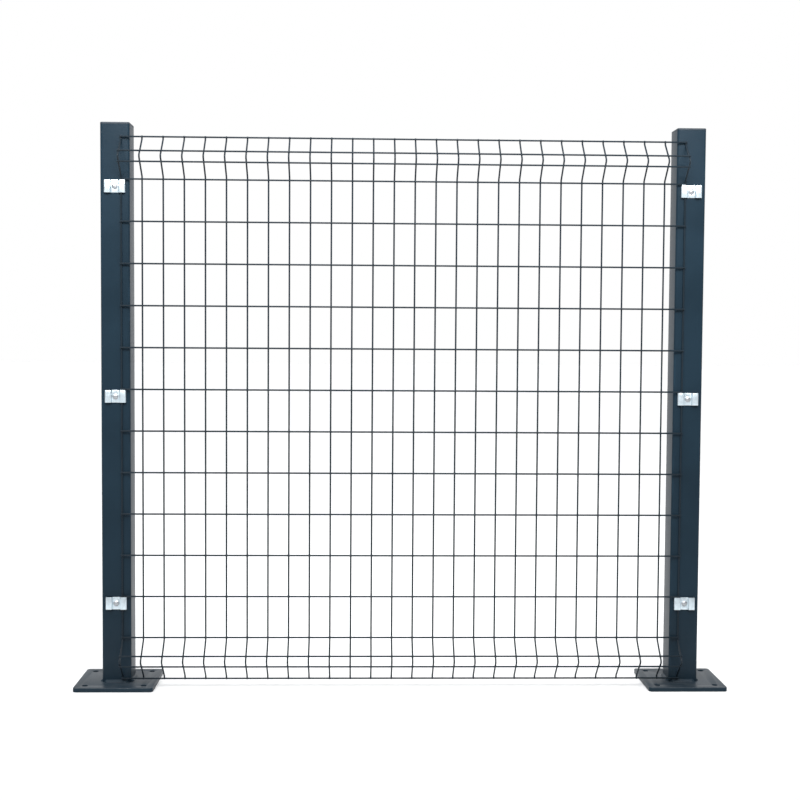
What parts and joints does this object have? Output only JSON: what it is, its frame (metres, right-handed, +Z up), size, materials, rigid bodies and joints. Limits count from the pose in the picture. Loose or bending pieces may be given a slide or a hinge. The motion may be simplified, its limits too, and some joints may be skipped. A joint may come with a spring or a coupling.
{
  "type": "welded mesh fence panel",
  "caption": "Welded wire mesh fence panel with V folds along its top and bottom edges, held by bright sheet clips on square posts with anchored base plates.",
  "frame": {"origin": "middle of the underside of the left post's base plate", "axes": "+X along the fence from the left post to the right post, +Y to the rear, away from the folds and clips, +Z up"},
  "size_m": [1.57, 0.19, 1.355],
  "materials": {
    "post_coat": "satin dark blue-grey powder coat",
    "wire_coat": "satin dark blue-grey powder coat",
    "clip_steel": "bright zinc",
    "cap_plastic": "dark blue-grey moulded plastic"
  },
  "bodies": {
    "root": {"left_post": "post_coat", "right_post": "post_coat", "left_base_plate": "post_coat", "right_base_plate": "post_coat", "left_foot_weld": "post_coat", "right_foot_weld": "post_coat", "left_post_cap": "cap_plastic", "right_post_cap": "cap_plastic", "left_top_clip": "clip_steel", "left_middle_clip": "clip_steel", "left_bottom_clip": "clip_steel", "right_top_clip": "clip_steel", "right_middle_clip": "clip_steel", "right_bottom_clip": "clip_steel", "mesh_top_fold": "wire_coat", "mesh_field": "wire_coat", "mesh_bottom_fold": "wire_coat"}
  },
  "joints": []
}
